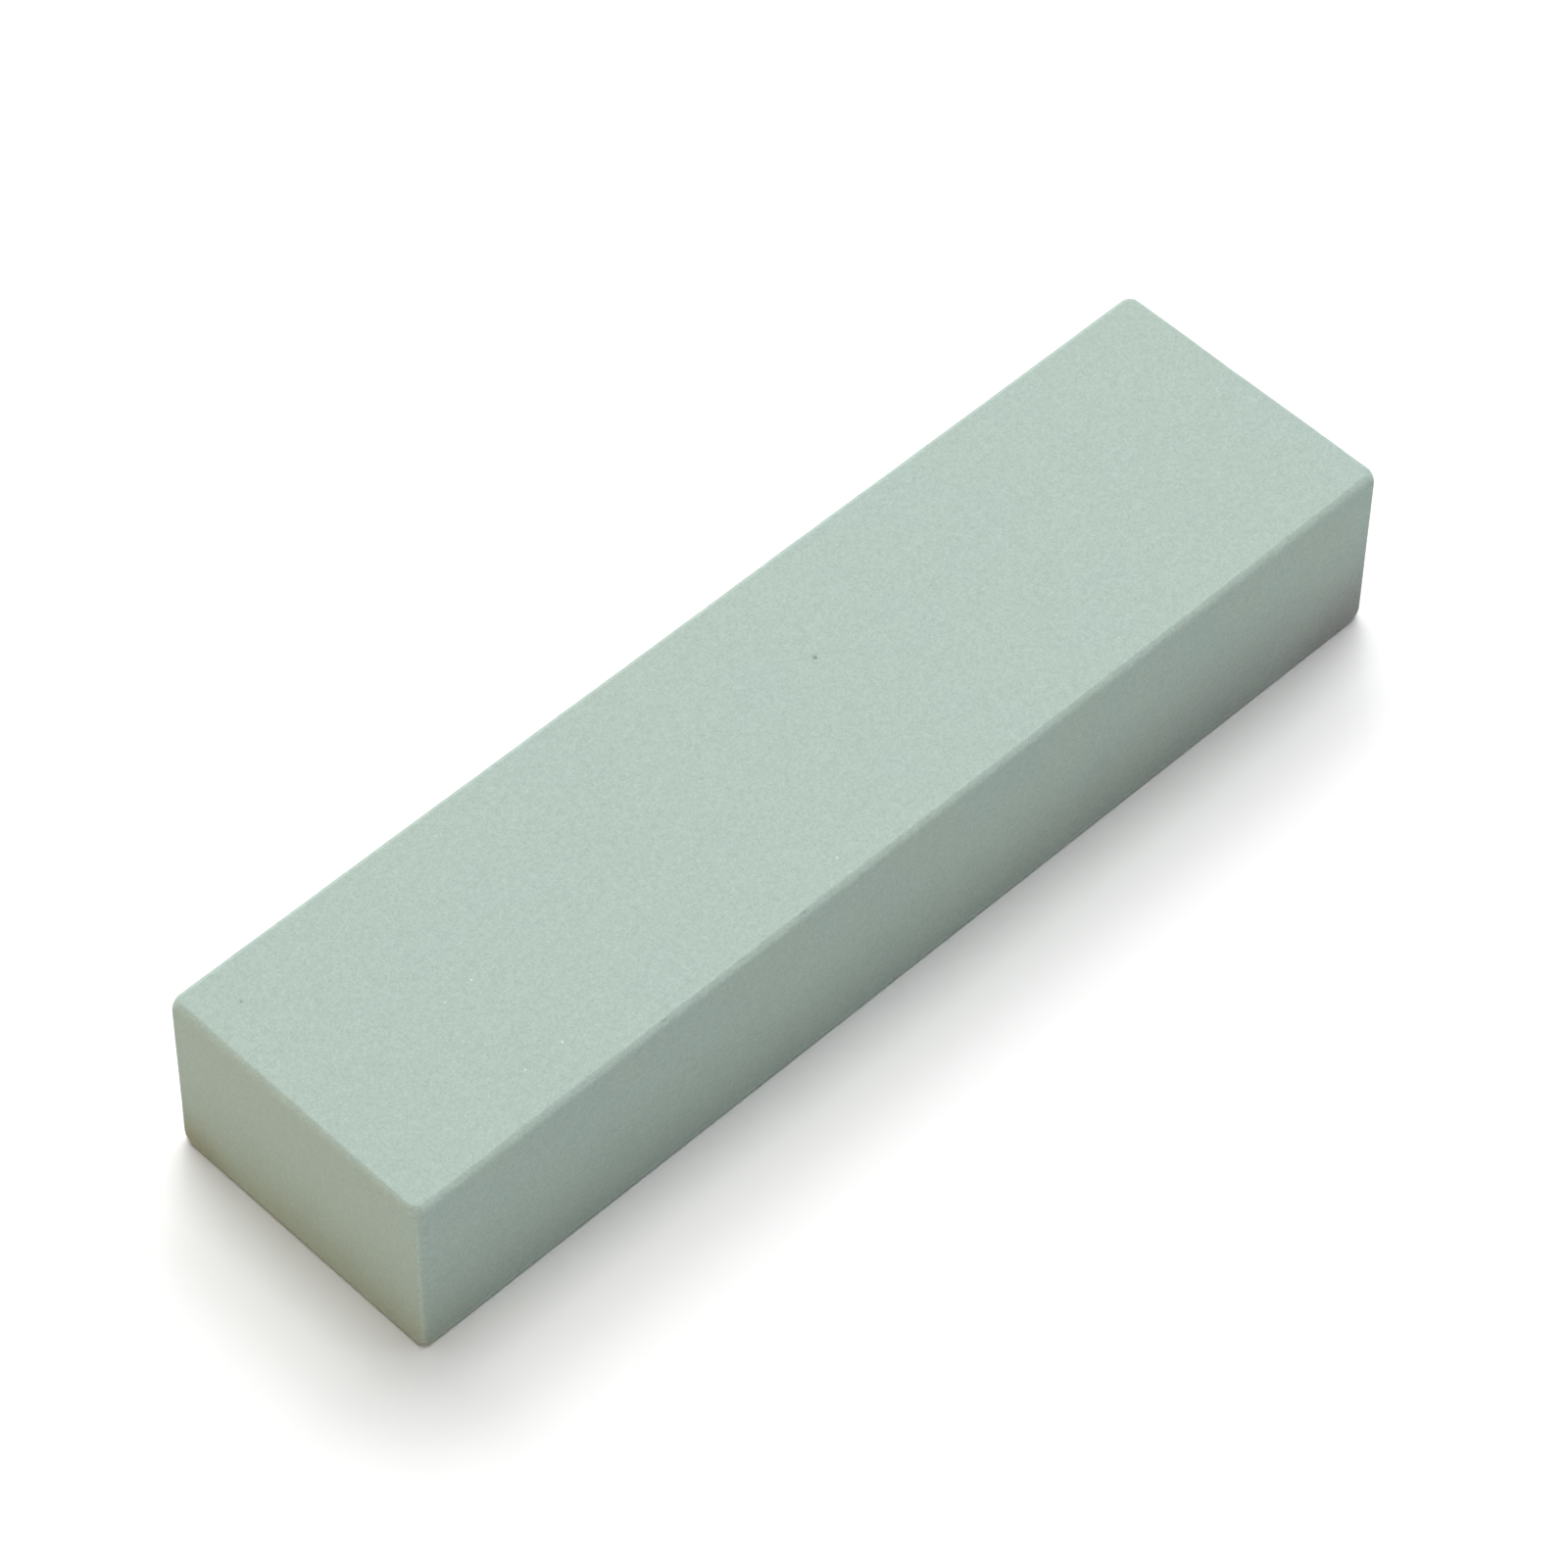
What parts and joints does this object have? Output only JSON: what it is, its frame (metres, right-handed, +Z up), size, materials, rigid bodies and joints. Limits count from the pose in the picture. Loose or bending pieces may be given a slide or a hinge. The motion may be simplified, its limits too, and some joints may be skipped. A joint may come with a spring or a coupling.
{
  "type": "sharpening whetstone",
  "caption": "Rectangular fine-grained bench stone for honing carving knives and gouges, one solid block with narrow bevelled arrises and softly rounded upright corners.",
  "frame": {"origin": "centre of the underside, on the surface the stone rests on", "axes": "+X along the stone's length, +Y across its width, +Z up, out of the working face"},
  "size_m": [0.15, 0.0396, 0.0255],
  "materials": {
    "abrasive_stone": "matt, fine even grain, pale grey-green"
  },
  "bodies": {
    "root": {"stone": "abrasive_stone"}
  },
  "joints": []
}
